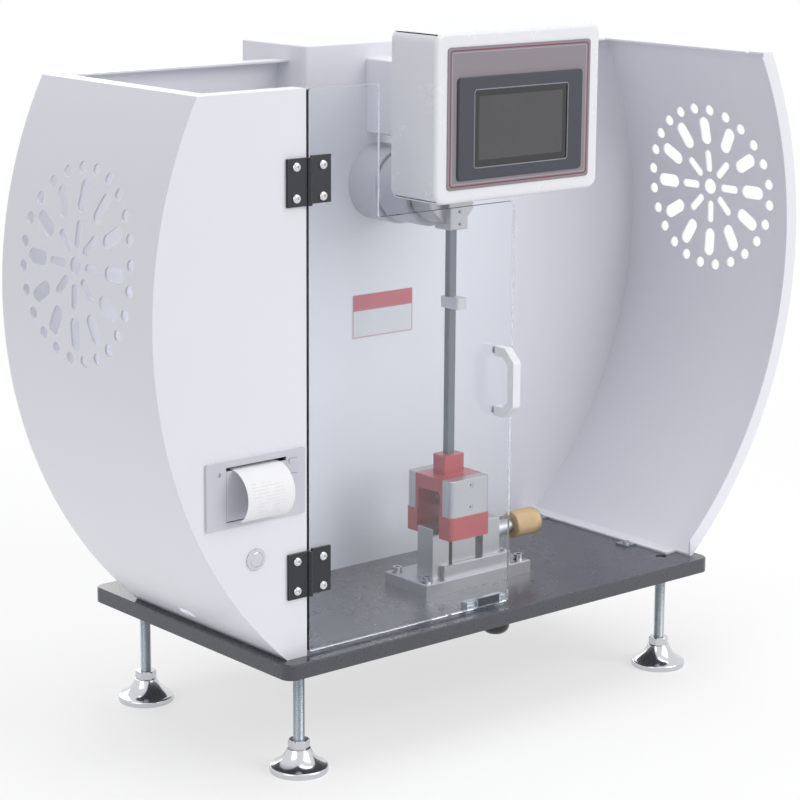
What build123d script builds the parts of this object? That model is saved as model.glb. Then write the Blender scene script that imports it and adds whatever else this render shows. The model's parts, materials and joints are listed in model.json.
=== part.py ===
from build123d import *
from math import cos, radians, sin, sqrt
import os

os.makedirs("parts", exist_ok=True)

# A bench-top pendulum impact tester, in millimetres.
# X runs along the front, Y runs back and Z runs up from the floor.
# Inside this file a place is given by three numbers: x, the depth behind the front edge of
# the base plate, and the height above the top of that plate.

# Overall layout
plate_width = 600
plate_depth = 345
plate_thickness = 16
plate_corner = 12
leg_height = 112
plate_top = leg_height + plate_thickness
front_reach = 12
rear_reach = 349
mid_depth = (rear_reach - front_reach) / 2

# Vise: the jaws' top sets where the specimen is struck
jaw_half = 12.5
vise_floor = 14
guide_top = vise_floor + 14
jaw_top = guide_top + 42
screw_height = jaw_top - 20

# Pendulum: the axis runs along Y, and the striking edge hangs 335 mm below it
strike_length = 335
strike_height = jaw_top + 22
axis_height = strike_height + strike_length
swing_depth = 110
shaft_radius = 12.5
rod_half_x = 5
rod_half_y = 4
fit = 0.03
running = 0.05

# Column and console, both set from the pendulum's axis
column_half = 99
column_front = 230
column_back = 338
column_height = axis_height + 145
cap_thickness = 4
console_half = 112
console_front = 6
console_back = 73
console_bottom = axis_height + 8
console_top = console_bottom + 171
console_wall = 3
arm_half = 16
arm_bottom = axis_height + 53
arm_top = arm_bottom + 80

# Side shells: a circular arc bulges past the plate on each side
sheet = 2
shell_front = 17
shell_back = 277
shell_height = column_height - 12
arc_radius = 463
arc_centre_x = -20
arc_centre_height = 345
lip = 20
hinge_line = 262.5

# Feet
stud_radius = 6
foot_x = 259
foot_front = 37
foot_back = 307


def place(x, depth, height):
    """World position of a point given from the plate's front edge and top face."""
    return (x, depth - mid_depth, height + plate_top)


def slab(x0, x1, d0, d1, h0, h1, mode=Mode.ADD):
    """A block between two x values, two depths and two heights."""
    with Locations(place((x0 + x1) / 2, (d0 + d1) / 2, (h0 + h1) / 2)):
        Box(abs(x1 - x0), abs(d1 - d0), abs(h1 - h0), mode=mode)


def pin_x(x0, x1, depth, height, radius, mode=Mode.ADD):
    """A cylinder along X."""
    x, y, z = place((x0 + x1) / 2, depth, height)
    with Locations(Location((x, y, z), (0, 90, 0))):
        Cylinder(radius, abs(x1 - x0), mode=mode)


def pin_y(d0, d1, x, height, radius, mode=Mode.ADD):
    """A cylinder along Y."""
    x, y, z = place(x, (d0 + d1) / 2, height)
    with Locations(Location((x, y, z), (90, 0, 0))):
        Cylinder(radius, abs(d1 - d0), mode=mode)


def pin_z(h0, h1, x, depth, radius, mode=Mode.ADD):
    """A cylinder along Z."""
    with Locations(place(x, depth, (h0 + h1) / 2)):
        Cylinder(radius, abs(h1 - h0), mode=mode)


def front_plane(depth):
    """A drawing plane that faces the front, with its origin on the plate top."""
    return Plane(origin=place(0, depth, 0), x_dir=(1, 0, 0), z_dir=(0, -1, 0))


def side_plane(x):
    """A drawing plane that faces right; its first axis is depth, its second is height."""
    return Plane(origin=place(x, 0, 0), x_dir=(0, 1, 0), z_dir=(1, 0, 0))


def plan_plane(height):
    """A drawing plane that faces up; its first axis is x, its second is depth."""
    return Plane(origin=place(0, 0, height), x_dir=(1, 0, 0), z_dir=(0, 0, 1))


def arc_x(height, inset=0):
    """Distance of the shell's arc from the middle plane at a height."""
    radius = arc_radius - inset
    return arc_centre_x + sqrt(radius ** 2 - (height - arc_centre_height) ** 2)


# Base plate with its stud holes, screw holes and one spare tapped hole
foot_places = [(x, d) for x in (-foot_x, foot_x) for d in (foot_front, foot_back)]
vise_screw_places = [(x, d) for x in (-41, 94) for d in (96, 145)]
bumper_place = (-9, 20)

with BuildPart() as base_plate:
    slab(-plate_width / 2, plate_width / 2, 0, plate_depth, -plate_thickness, 0)
    fillet(base_plate.edges().filter_by(Axis.Z), plate_corner)
    chamfer(base_plate.faces().sort_by(Axis.Z)[-1].edges(), 1.2)
    for x, d in foot_places:
        pin_z(-plate_thickness, 0, x, d, stud_radius + running, Mode.SUBTRACT)
    for x, d in vise_screw_places:
        pin_z(-10, 0, x, d, 3.1, Mode.SUBTRACT)
    pin_z(-plate_thickness, -6, *bumper_place, 3.1, Mode.SUBTRACT)
    pin_z(-8, 0, 80.6, 59.2, 1.6, Mode.SUBTRACT)
base_plate.part.label = "base_plate"
export_step(base_plate.part, "parts/base_plate.step")


# Lock nuts under the plate, one on each levelling stud
nut_height = 8
with BuildPart() as stud_nuts:
    for x, d in foot_places:
        with BuildSketch(plan_plane(-plate_thickness - nut_height)):
            with Locations((x, d)):
                RegularPolygon(10.9, 6)
                Circle(stud_radius + running, mode=Mode.SUBTRACT)
        extrude(amount=nut_height)
stud_nuts.part.label = "stud_nuts"
export_step(stud_nuts.part, "parts/stud_nuts.step")


# Levelling feet: a broad cone on the floor, a hexagon neck and a threaded stud
pad_radius = 30
for name, x, d in (
    ("foot_front_left", -foot_x, foot_front),
    ("foot_back_left", -foot_x, foot_back),
    ("foot_front_right", foot_x, foot_front),
    ("foot_back_right", foot_x, foot_back),
):
    floor = -plate_top
    with BuildPart() as foot:
        with BuildSketch(Plane(origin=place(x, d, floor), x_dir=(1, 0, 0), z_dir=(0, -1, 0))):
            with BuildLine():
                Polyline((0, 0), (pad_radius - 1, 0), (pad_radius, 1), (pad_radius, 5), (pad_radius - 2, 7))
                ThreePointArc((pad_radius - 2, 7), (18.5, 13.5), (11.5, 25))
                Polyline((11.5, 25), (0, 25), (0, 0))
            make_face()
        revolve(axis=Axis(place(x, d, 0), (0, 0, 1)))
        with BuildSketch(plan_plane(floor + 25)):
            with Locations((x, d)):
                RegularPolygon(11.3, 6)
        extrude(amount=9)
        pin_z(floor + 34, -1.5, x, d, stud_radius - fit)
        chamfer(foot.faces().sort_by(Axis.Z)[-1].edges(), 1)
    foot.part.label = name
    export_step(foot.part, f"parts/{name}.step")


# Rubber bumper under the front edge of the plate
with BuildPart() as plate_bumper:
    pin_z(-plate_thickness - 14, -plate_thickness, *bumper_place, 15)
    fillet(plate_bumper.faces().sort_by(Axis.Z)[0].edges(), 10)
    pin_z(-plate_thickness, -7, *bumper_place, 3)
plate_bumper.part.label = "plate_bumper"
export_step(plate_bumper.part, "parts/plate_bumper.step")


# Column: a folded sheet box, open at the back behind a cover
cover_screw_places = [(x, h) for x in (-90, 90) for h in (20, column_height / 2, column_height - 20)]
with BuildPart() as column_housing:
    slab(-column_half, column_half, column_front, column_back, 0, column_height)
    fillet(column_housing.edges().filter_by(Axis.Z).group_by(Axis.Y)[0], 7)
    slab(-column_half + sheet, column_half - sheet, column_front + sheet, column_back - sheet,
         sheet, column_height - sheet, Mode.SUBTRACT)
    slab(-82, 82, column_back - sheet - 1, column_back + 1, 12, column_height - 12, Mode.SUBTRACT)
    pin_y(column_front - 1, column_front + 3, 0, axis_height, 30, Mode.SUBTRACT)
    slab(-10, 10, column_front - 1, column_front + 3, arm_bottom + 10, arm_top - 10, Mode.SUBTRACT)
    for x, h in cover_screw_places:
        pin_y(column_back - 3, column_back + 1, x, h, 2.05, Mode.SUBTRACT)
column_housing.part.label = "column_housing"
export_step(column_housing.part, "parts/column_housing.step")

with BuildPart() as column_cap:
    slab(-column_half, column_half, column_front, column_back, column_height,
         column_height + cap_thickness)
    fillet(column_cap.edges().filter_by(Axis.Z).group_by(Axis.Y)[0], 7)
    chamfer(column_cap.faces().sort_by(Axis.Z)[-1].edges(), 1)
column_cap.part.label = "column_cap"
export_step(column_cap.part, "parts/column_cap.step")

inlet_x = -45
inlet_height = 45
with BuildPart() as rear_cover:
    slab(-column_half + 2, column_half - 2, column_back, column_back + sheet, 6, column_height - 6)
    fillet(rear_cover.edges().filter_by(Axis.Y), 5)
    for x, h in cover_screw_places:
        pin_y(column_back - 1, column_back + 3, x, h, 2.05, Mode.SUBTRACT)
    for row in range(8):
        slab(-40, 40, column_back - 1, column_back + 3, 120 + 12 * row, 124 + 12 * row, Mode.SUBTRACT)
    slab(inlet_x - 14, inlet_x + 14, column_back - 1, column_back + 3,
         inlet_height - 11, inlet_height + 11, Mode.SUBTRACT)
rear_cover.part.label = "rear_cover"
export_step(rear_cover.part, "parts/rear_cover.step")

with BuildPart() as cover_screws:
    for x, h in cover_screw_places:
        pin_y(column_back - 3, column_back + sheet, x, h, 2)
        pin_y(column_back + sheet, column_back + sheet + 2.4, x, h, 4)
cover_screws.part.label = "cover_screws"
export_step(cover_screws.part, "parts/cover_screws.step")

# Power inlet: a flanged socket with three blades
with BuildPart() as power_inlet:
    back = column_back + sheet
    slab(inlet_x - 24, inlet_x + 24, back, back + 4, inlet_height - 14, inlet_height + 14)
    fillet(power_inlet.edges().filter_by(Axis.Y), 4)
    slab(inlet_x - 13.8, inlet_x + 13.8, back - 26, back, inlet_height - 10.8, inlet_height + 10.8)
    slab(inlet_x - 12, inlet_x + 12, back + 4, rear_reach, inlet_height - 9, inlet_height + 9)
    slab(inlet_x - 10.5, inlet_x + 10.5, back - 12, rear_reach + 1, inlet_height - 7.5,
         inlet_height + 7.5, Mode.SUBTRACT)
    for x, h in ((-6, -2), (0, 2), (6, -2)):
        slab(inlet_x + x - 1, inlet_x + x + 1, back - 12.5, back + 3, inlet_height + h - 2.5,
             inlet_height + h + 2.5)
power_inlet.part.label = "power_inlet"
export_step(power_inlet.part, "parts/power_inlet.step")

with BuildPart() as power_supply:
    slab(-60, 60, 262, 312, sheet, 96)
    for row in range(6):
        slab(-61, 61, 270 + 6 * row, 272 + 6 * row, 30, 80, Mode.SUBTRACT)
    slab(-58, 58, 264, 310, sheet + 2, 94, Mode.SUBTRACT)
power_supply.part.label = "power_supply"
export_step(power_supply.part, "parts/power_supply.step")

# Blank two-tone card on the column
with BuildPart() as column_card:
    slab(-36, 50, column_front - 0.6, column_front, 256, 305)
    fillet(column_card.edges().filter_by(Axis.Y), 3)
column_card.part.label = "column_card"
export_step(column_card.part, "parts/column_card.step")


# Bearing housing: two stepped drums on the column, bored for two ball bearings
drum_front = 140
bearing_outer = 21
bearing_width = 12
with BuildPart() as bearing_housing:
    pin_y(187, column_front, 0, axis_height, 41.5)
    chamfer(bearing_housing.edges().filter_by(GeomType.CIRCLE).group_by(Axis.Y)[0], 2)
    pin_y(182, 188, 0, axis_height, 36)
    pin_y(drum_front, 183, 0, axis_height, 38.5)
    chamfer(bearing_housing.edges().filter_by(GeomType.CIRCLE).group_by(Axis.Y)[0], 1.5)
    pin_y(column_front, 242, 0, axis_height, 29.9)
    pin_y(drum_front - 1, 243, 0, axis_height, 17, Mode.SUBTRACT)
    pin_y(drum_front - 1, drum_front + bearing_width, 0, axis_height, bearing_outer, Mode.SUBTRACT)
    pin_y(242 - bearing_width, 243, 0, axis_height, bearing_outer, Mode.SUBTRACT)
    for turn in range(3):
        angle = radians(30 + 120 * turn)
        pin_y(232, 243, 25.4 * cos(angle), axis_height + 25.4 * sin(angle), 2.05, Mode.SUBTRACT)
bearing_housing.part.label = "bearing_housing"
export_step(bearing_housing.part, "parts/bearing_housing.step")

with BuildPart() as ball_bearings:
    for d in (drum_front, 242 - bearing_width):
        pin_y(d, d + bearing_width, 0, axis_height, bearing_outer - fit)
        pin_y(d - 1, d + 0.6, 0, axis_height, 19, Mode.SUBTRACT)
        pin_y(d, d + 0.8, 0, axis_height, 15.5)
        pin_y(d - 1, d + bearing_width + 1, 0, axis_height, shaft_radius + running, Mode.SUBTRACT)
ball_bearings.part.label = "ball_bearings"
export_step(ball_bearings.part, "parts/ball_bearings.step")

# Angle encoder on three posts behind the rear bearing
encoder_front = 256
encoder_back = 288
with BuildPart() as angle_encoder:
    pin_y(encoder_front, encoder_back, 0, axis_height, 29)
    chamfer(angle_encoder.edges().filter_by(GeomType.CIRCLE), 1.5)
    pin_x(26, 38, 274, axis_height, 5)
    for turn in range(3):
        angle = radians(30 + 120 * turn)
        pin_y(242, encoder_front, 25.4 * cos(angle), axis_height + 25.4 * sin(angle), 3)
        pin_y(234, 242, 25.4 * cos(angle), axis_height + 25.4 * sin(angle), 2)
    pin_y(encoder_front - 1, encoder_back + 1, 0, axis_height, 6 + running, Mode.SUBTRACT)
angle_encoder.part.label = "angle_encoder"
export_step(angle_encoder.part, "parts/angle_encoder.step")


# Pendulum shaft: stepped, with the hub on its front end and the encoder on its rear end
with BuildPart() as pendulum_shaft:
    pin_y(120, 246, 0, axis_height, shaft_radius)
    pin_y(246, 292, 0, axis_height, 6)
    chamfer(pendulum_shaft.edges().filter_by(GeomType.CIRCLE).group_by(Axis.Y)[-1], 0.8)
pendulum_shaft.part.label = "pendulum_shaft"
export_step(pendulum_shaft.part, "parts/pendulum_shaft.step")

# Hub: a steel drum with a square clamp block that holds the rod with four set screws
block_half = 12
block_front = 97
block_bottom = axis_height - 37
block_top = axis_height + 22
front_set_heights = (axis_height - 31, axis_height - 18)
side_set_heights = (axis_height - 28, axis_height - 14)
with BuildPart() as pendulum_hub:
    pin_y(106, 137.5, 0, axis_height, 33)
    chamfer(pendulum_hub.edges().filter_by(GeomType.CIRCLE), 1.5)
    slab(-block_half, block_half, block_front, 122, block_bottom, block_top)
    chamfer(pendulum_hub.faces().sort_by(Axis.Y)[0].edges(), 1)
    pin_y(120, 139, 0, axis_height, shaft_radius + 0.01, Mode.SUBTRACT)
    slab(-rod_half_x - fit, rod_half_x + fit, swing_depth - rod_half_y - fit,
         swing_depth + rod_half_y + fit, block_bottom - 1, block_top - 4, Mode.SUBTRACT)
    for h in front_set_heights:
        pin_y(block_front - 1, swing_depth - rod_half_y, 0, h, 2.55, Mode.SUBTRACT)
    for h in side_set_heights:
        pin_x(-block_half - 1, -rod_half_x, swing_depth, h, 2.55, Mode.SUBTRACT)
pendulum_hub.part.label = "pendulum_hub"
export_step(pendulum_hub.part, "parts/pendulum_hub.step")

# Rod: a flat bar from the hub down to the hammer's collar
hammer_top = strike_height + 34
rod_bottom = hammer_top - 6
rod_top = block_top - 4.2
with BuildPart() as pendulum_rod:
    slab(-rod_half_x, rod_half_x, swing_depth - rod_half_y, swing_depth + rod_half_y, rod_bottom, rod_top)
    chamfer(pendulum_rod.edges().filter_by(Axis.Z), 0.8)
pendulum_rod.part.label = "pendulum_rod"
export_step(pendulum_rod.part, "parts/pendulum_rod.step")

# Latch collar: a small block on the rod whose nose reaches forward
latch_bottom = axis_height - 121
latch_top = latch_bottom + 12
with BuildPart() as latch_collar:
    slab(-7, 7, 91, 117, latch_bottom, latch_top)
    fillet(latch_collar.edges().filter_by(Axis.Z).group_by(Axis.Y)[0], 3)
    slab(-rod_half_x - fit, rod_half_x + fit, swing_depth - rod_half_y - fit,
         swing_depth + rod_half_y + fit, latch_bottom - 1, latch_top + 1, Mode.SUBTRACT)
latch_collar.part.label = "latch_collar"
export_step(latch_collar.part, "parts/latch_collar.step")

# Hammer: a red inverted U that straddles the vise, with a thick band round its lower edge
gap_half = 18
wall_half = 22
cheek_half = 36
band_half = 37
hammer_half_x = 27.5
band_half_x = 28.5
band_top = strike_height - 6
hammer_bottom = strike_height - 31
gap_top = hammer_top - 15
collar_half_x = 14
collar_half_y = 10
collar_top = hammer_top + 21
corner = 6
cheek_screw_heights = (hammer_top - 7, hammer_top - 31)
with BuildPart() as hammer_body:
    with BuildSketch(plan_plane(hammer_bottom)):
        with Locations((0, swing_depth)):
            RectangleRounded(2 * band_half_x, 2 * band_half, corner)
    extrude(amount=band_top - hammer_bottom)
    slab(-hammer_half_x, hammer_half_x, swing_depth - wall_half, swing_depth + wall_half, band_top, hammer_top)
    slab(-collar_half_x, collar_half_x, swing_depth - collar_half_y, swing_depth + collar_half_y,
         hammer_top, collar_top)
    fillet(hammer_body.edges().filter_by(Axis.Z).filter_by_position(
        Axis.Z, plate_top + hammer_top + 1, plate_top + collar_top), 2)
    slab(-band_half_x - 1, band_half_x + 1, swing_depth - gap_half, swing_depth + gap_half,
         hammer_bottom - 1, gap_top, Mode.SUBTRACT)
    fillet(hammer_body.edges().filter_by(Axis.X).filter_by_position(
        Axis.Z, plate_top + gap_top - 0.5, plate_top + gap_top + 0.5), 5)
    slab(-rod_half_x - fit, rod_half_x + fit, swing_depth - rod_half_y - fit,
         swing_depth + rod_half_y + fit, rod_bottom - 0.2, collar_top + 1, Mode.SUBTRACT)
    for side in (-1, 1):
        edge = swing_depth + side * gap_half
        wall = swing_depth + side * (wall_half + 1)
        for h in cheek_screw_heights:
            pin_y(edge, wall, 0, h, 2.05, Mode.SUBTRACT)
        slab(2.9, 15.1, edge, edge + 3 * side, strike_height - 7.1, strike_height + 7.1, Mode.SUBTRACT)
hammer_body.part.label = "hammer_body"
export_step(hammer_body.part, "parts/hammer_body.step")

for name, side in (("front_cheek", -1), ("rear_cheek", 1)):
    with BuildPart() as cheek:
        inner = swing_depth + side * wall_half
        outer = swing_depth + side * cheek_half
        slab(-hammer_half_x, hammer_half_x, inner, outer, band_top, hammer_top)
        outer_edges = cheek.edges().filter_by(Axis.Z).sort_by(Axis.Y)
        fillet(outer_edges[:2] if side < 0 else outer_edges[-2:], corner - 1)
        chamfer(cheek.faces().sort_by(Axis.Z)[-1].edges(), 0.8)
        for h in cheek_screw_heights:
            pin_y(inner - side, outer + side, 0, h, 2.05, Mode.SUBTRACT)
            pin_y(outer - side * 3, outer + side, 0, h, 3.7, Mode.SUBTRACT)
    cheek.part.label = name
    export_step(cheek.part, f"parts/{name}.step")

with BuildPart() as pendulum_screws:
    for h in front_set_heights:
        pin_y(block_front + 0.6, swing_depth - rod_half_y - fit, 0, h, 2.5)
        pin_y(block_front, block_front + 2.6, 0, h, 1.3, Mode.SUBTRACT)
    for h in side_set_heights:
        pin_x(-block_half + 0.6, -rod_half_x - fit, swing_depth, h, 2.5)
        pin_x(-block_half, -block_half + 2.6, swing_depth, h, 1.3, Mode.SUBTRACT)
    for side in (-1, 1):
        seat = swing_depth + side * (cheek_half - 3)
        head = swing_depth + side * (cheek_half - 0.3)
        tip = swing_depth + side * (gap_half + 0.5)
        for h in cheek_screw_heights:
            pin_y(seat, tip, 0, h, 2)
            pin_y(seat, head, 0, h, 3.5)
            pin_y(head - side * 1.8, head + side, 0, h, 1.5, Mode.SUBTRACT)
pendulum_screws.part.label = "pendulum_screws"
export_step(pendulum_screws.part, "parts/pendulum_screws.step")

# Striker: a hardened bar across the hammer's gap with a rounded nose on the middle plane
with BuildPart() as striker:
    with BuildSketch(front_plane(swing_depth + gap_half + 2.9)):
        with BuildLine():
            Polyline((15, strike_height - 7), (3, strike_height - 7), (0.8, strike_height - 0.8))
            ThreePointArc((0.8, strike_height - 0.8), (0.4, strike_height), (0.8, strike_height + 0.8))
            Polyline((0.8, strike_height + 0.8), (3, strike_height + 7), (15, strike_height + 7),
                     (15, strike_height - 7))
        make_face()
    extrude(amount=2 * gap_half + 5.8)
    for side in (-1, 1):
        end = swing_depth + side * gap_half
        slab(-1, 3, end, end + 4 * side, strike_height - 8, strike_height + 8, Mode.SUBTRACT)
striker.part.label = "striker"
export_step(striker.part, "parts/striker.step")


# Vise: slotted base plate, guide block, fixed jaw and screw block
with BuildPart() as vise_base:
    slab(-50, 103, 86, 155, 0, vise_floor)
    chamfer(vise_base.faces().sort_by(Axis.Z)[-1].edges(), 1)
    for x, d in vise_screw_places:
        with BuildSketch(plan_plane(vise_floor)):
            with Locations((x, d)):
                SlotOverall(14, 6.4)
        extrude(amount=-vise_floor, mode=Mode.SUBTRACT)
    pin_z(vise_floor - 4, vise_floor + 1, -20.6, 110, 3.05, Mode.SUBTRACT)
    pin_z(vise_floor - 4, vise_floor + 1, 52, 110, 3.05, Mode.SUBTRACT)
vise_base.part.label = "vise_base"
export_step(vise_base.part, "parts/vise_base.step")

guide_screw_places = [(71, 97), (71, 123)]
with BuildPart() as vise_guide:
    slab(-20, 78, 92, 128, vise_floor, guide_top)
    chamfer(vise_guide.faces().sort_by(Axis.Z)[-1].edges(), 0.8)
    slab(-21, -9.2, swing_depth - jaw_half, swing_depth + jaw_half, vise_floor - 1, guide_top + 1, Mode.SUBTRACT)
    for x, d in guide_screw_places:
        pin_z(vise_floor + 4, guide_top + 1, x, d, 2.05, Mode.SUBTRACT)
    pin_z(vise_floor - 1, guide_top + 1, 52, 110, 3.05, Mode.SUBTRACT)
vise_guide.part.label = "vise_guide"
export_step(vise_guide.part, "parts/vise_guide.step")

with BuildPart() as vise_screws:
    for x, d in vise_screw_places:
        pin_z(-9, vise_floor, x, d, 3)
        pin_z(vise_floor, vise_floor + 6, x, d, 5)
        with BuildSketch(plan_plane(vise_floor + 6)):
            with Locations((x, d)):
                RegularPolygon(2.9, 6)
        extrude(amount=-3, mode=Mode.SUBTRACT)
    for x, d in guide_screw_places:
        pin_z(vise_floor + 5, guide_top, x, d, 2)
        pin_z(guide_top, guide_top + 3, x, d, 3.5)
        pin_z(guide_top + 1.5, guide_top + 4, x, d, 1.6, Mode.SUBTRACT)
vise_screws.part.label = "vise_screws"
export_step(vise_screws.part, "parts/vise_screws.step")

with BuildPart() as fixed_jaw:
    slab(-32, -9.2, swing_depth - jaw_half, swing_depth + jaw_half, vise_floor, jaw_top)
    chamfer(fixed_jaw.faces().sort_by(Axis.Z)[-1].edges(), 0.8)
    pin_z(vise_floor - 3.5, vise_floor + 0.1, -20.6, 110, 3)
fixed_jaw.part.label = "fixed_jaw"
export_step(fixed_jaw.part, "parts/fixed_jaw.step")

block_x0 = 40
block_x1 = 64
with BuildPart() as screw_block:
    slab(block_x0, block_x1, swing_depth - jaw_half, swing_depth + jaw_half, guide_top, jaw_top - 2)
    chamfer(screw_block.faces().sort_by(Axis.Z)[-1].edges(), 0.8)
    pin_z(vise_floor - 3.5, guide_top + 0.1, 52, 110, 3)
    pin_x(block_x0 - 1, block_x1 + 1, swing_depth, screw_height, 6 + running, Mode.SUBTRACT)
screw_block.part.label = "screw_block"
export_step(screw_block.part, "parts/screw_block.step")

# Moving jaw: slides on the guide block and is drawn by the screw
with BuildPart() as moving_jaw:
    slab(-4.3, 29, swing_depth - jaw_half, swing_depth + jaw_half, guide_top + 0.3, jaw_top)
    chamfer(moving_jaw.faces().sort_by(Axis.Z)[-1].edges(), 0.8)
    pin_x(-1, 30, swing_depth, screw_height, 5 + running, Mode.SUBTRACT)
moving_jaw.part.label = "moving_jaw"
export_step(moving_jaw.part, "parts/moving_jaw.step")

# Clamp screw, held in the screw block by a collar outside and a ring inside
with BuildPart() as clamp_screw:
    pin_x(8, 38, swing_depth, screw_height, 5)
    pin_x(38, block_x0 - 0.3, swing_depth, screw_height, 9)
    pin_x(block_x0 - 0.3, block_x1 + 0.3, swing_depth, screw_height, 6)
    pin_x(block_x1 + 0.3, 72, swing_depth, screw_height, 10)
    pin_x(72, 92, swing_depth, screw_height, 8.5)
    pin_x(92, 112, swing_depth, screw_height, 5)
    chamfer(clamp_screw.edges().filter_by(GeomType.CIRCLE).group_by(Axis.X)[0], 0.8)
clamp_screw.part.label = "clamp_screw"
export_step(clamp_screw.part, "parts/clamp_screw.step")

with BuildPart() as clamp_knob:
    pin_x(92, 130, swing_depth, screw_height, 15)
    fillet(clamp_knob.edges().filter_by(GeomType.CIRCLE).group_by(Axis.X)[-1], 4)
    chamfer(clamp_knob.edges().filter_by(GeomType.CIRCLE).group_by(Axis.X)[0], 1.5)
    pin_x(91, 112.1, swing_depth, screw_height, 5.02, Mode.SUBTRACT)
clamp_knob.part.label = "clamp_knob"
export_step(clamp_knob.part, "parts/clamp_knob.step")


# Shells. Each one is drawn as a solid bounded by the arc, hollowed to sheet thickness and then
# opened at the top, towards the middle and (on the right) at the front, which leaves the folded
# lips. The side walls are pierced with a plain rosette of round-ended slots and holes.
def shell_outline(inset, inner_x, bottom, top):
    """Face bounded by the arc, seen from the front, on the right-hand side."""
    middle = (bottom + top) / 2
    low, belly, high = [(arc_x(h, inset), h) for h in (bottom, middle, top)]
    make_face([
        Edge.make_line((inner_x, bottom), low),
        Edge.make_three_point_arc(low, belly, high),
        Edge.make_line(high, (inner_x, top)),
        Edge.make_line((inner_x, top), (inner_x, bottom)),
    ])


rosette_depth = 147
rosette_height = 392
rosette_radius = 98


def shell(front_wall):
    """One guard shell on the right-hand side; the left one is its mirror image."""
    depth = shell_back - shell_front
    with BuildPart() as body:
        with BuildSketch(front_plane(shell_back)):
            shell_outline(0, column_half, 0, shell_height)
        extrude(amount=depth)
        with BuildSketch(front_plane(shell_back - sheet)):
            shell_outline(sheet, column_half - 1, sheet, shell_height - sheet)
        extrude(amount=depth - 2 * sheet, mode=Mode.SUBTRACT)
        slab(column_half - 1, arc_x(shell_height) - lip, shell_front + lip, shell_back - lip,
             shell_height - 5, shell_height + 1, Mode.SUBTRACT)
        slab(column_half - 1, arc_x(0) - lip, shell_front + lip, shell_back - lip, -1, 5, Mode.SUBTRACT)
        slab(column_half - 1, hinge_line + 1.8, shell_front - 1, shell_back - lip, -1,
             shell_height + 1, Mode.SUBTRACT)
        slab(column_half - 1, hinge_line + 1.8, shell_back - lip - 1, shell_back - sheet, -1, 5, Mode.SUBTRACT)
        if front_wall:
            slab(hinge_line + 1.8, hinge_line + 1.8 + sheet, shell_front, shell_front + 16, 0, shell_height)
            slab(-printer_x0 + 0.2, -printer_x1 - 0.2, shell_front - 1, shell_front + 3,
                 printer_h0 - 0.2, printer_h1 + 0.2, Mode.SUBTRACT)
            pin_y(shell_front - 1, shell_front + 3, -button_x, button_height, 9.6, Mode.SUBTRACT)
            for x, h in hinge_screw_places(-1):
                pin_y(shell_front - 1, shell_front + 3, -x, h, 2.05, Mode.SUBTRACT)
            with BuildSketch(side_plane(270)):
                with Locations((160, 18)):
                    SlotOverall(26, 8)
            extrude(amount=60, mode=Mode.SUBTRACT)
        else:
            with BuildSketch(front_plane(shell_front + sheet + 1)):
                shell_outline(16, column_half - 2, 16, shell_height + 1)
            extrude(amount=sheet + 2, mode=Mode.SUBTRACT)
            slab(column_half - 1, arc_x(shell_height) - 14, shell_front - 1, shell_front + lip + 1,
                 shell_height - 5, shell_height + 1, Mode.SUBTRACT)
            slab(column_half - 1, arc_x(0) - 4, shell_front - 1, shell_front + lip + 1, -1, 17, Mode.SUBTRACT)
        with BuildSketch(side_plane(380)):
            with Locations((rosette_depth, rosette_height)):
                Circle(9)
                with PolarLocations(30, 8):
                    SlotOverall(26, 9)
                with PolarLocations(66, 12):
                    SlotOverall(32, 15)
                with PolarLocations(rosette_radius - 6, 24, start_angle=7.5):
                    Circle(6)
        extrude(amount=90, mode=Mode.SUBTRACT)
    return body.part


# Openings in the left shell's front wall, shared with the parts that fill them
printer_x0 = -380
printer_x1 = -274
printer_h0 = 152
printer_h1 = 210
button_x = -327
button_height = 111
hinge_heights = (85, 472)
hinge_tall = 46
hinge_wide = 26


def hinge_screw_places(side):
    """Two screws per leaf and hinge; side is -1 on the frame and 1 on the door."""
    x = -hinge_line + side * 16
    return [(x, h + rise) for h in hinge_heights for rise in (-15, 15)]


left_shell_part = mirror(shell(True), about=Plane.YZ)
left_shell_part.label = "left_shell"
export_step(left_shell_part, "parts/left_shell.step")

right_shell_part = shell(False)
right_shell_part.label = "right_shell"
export_step(right_shell_part, "parts/right_shell.step")

# Small angles that hold the shells down on the plate, with their screws
with BuildPart() as shell_brackets:
    for side in (-1, 1):
        for d in (94, 240):
            x0 = side * (arc_x(0) - lip - 16)
            x1 = side * (arc_x(0) - lip)
            slab(x0, x1, d - 9, d + 9, 0, 2)
            pin_z(2, 4.6, side * (arc_x(0) - lip - 8), d, 4)
shell_brackets.part.label = "shell_brackets"
export_step(shell_brackets.part, "parts/shell_brackets.step")


# Receipt printer in the left shell
with BuildPart() as printer_body:
    slab(printer_x0 - 6, printer_x1 + 6, shell_front - 2.5, shell_front, printer_h0 - 4, printer_h1 + 4)
    fillet(printer_body.edges().filter_by(Axis.Y), 2)
    slab(printer_x0, printer_x1, shell_front, 58, printer_h0, printer_h1)
    slab(printer_x0 + 2, printer_x1 - 2, shell_front - 3, 56, printer_h0 + 2, printer_h1 - 2, Mode.SUBTRACT)
    slab(printer_x1 - 17, printer_x1 - 2, shell_front - 2.5, shell_front, printer_h0 + 2, printer_h1 - 2)
    slab(printer_x0 + 2, printer_x0 + 17, shell_front - 2.5, shell_front, printer_h0 + 2, printer_h1 - 2)
    for h in (188, 203):
        slab(printer_x1 - 14, printer_x1 - 4, shell_front - 3, shell_front + 1, h - 2.5, h + 2.5, Mode.SUBTRACT)
    pin_y(shell_front - 3, shell_front - 1, printer_x0 + 9, 202, 2.2, Mode.SUBTRACT)
printer_body.part.label = "printer_body"
export_step(printer_body.part, "parts/printer_body.step")

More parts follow.
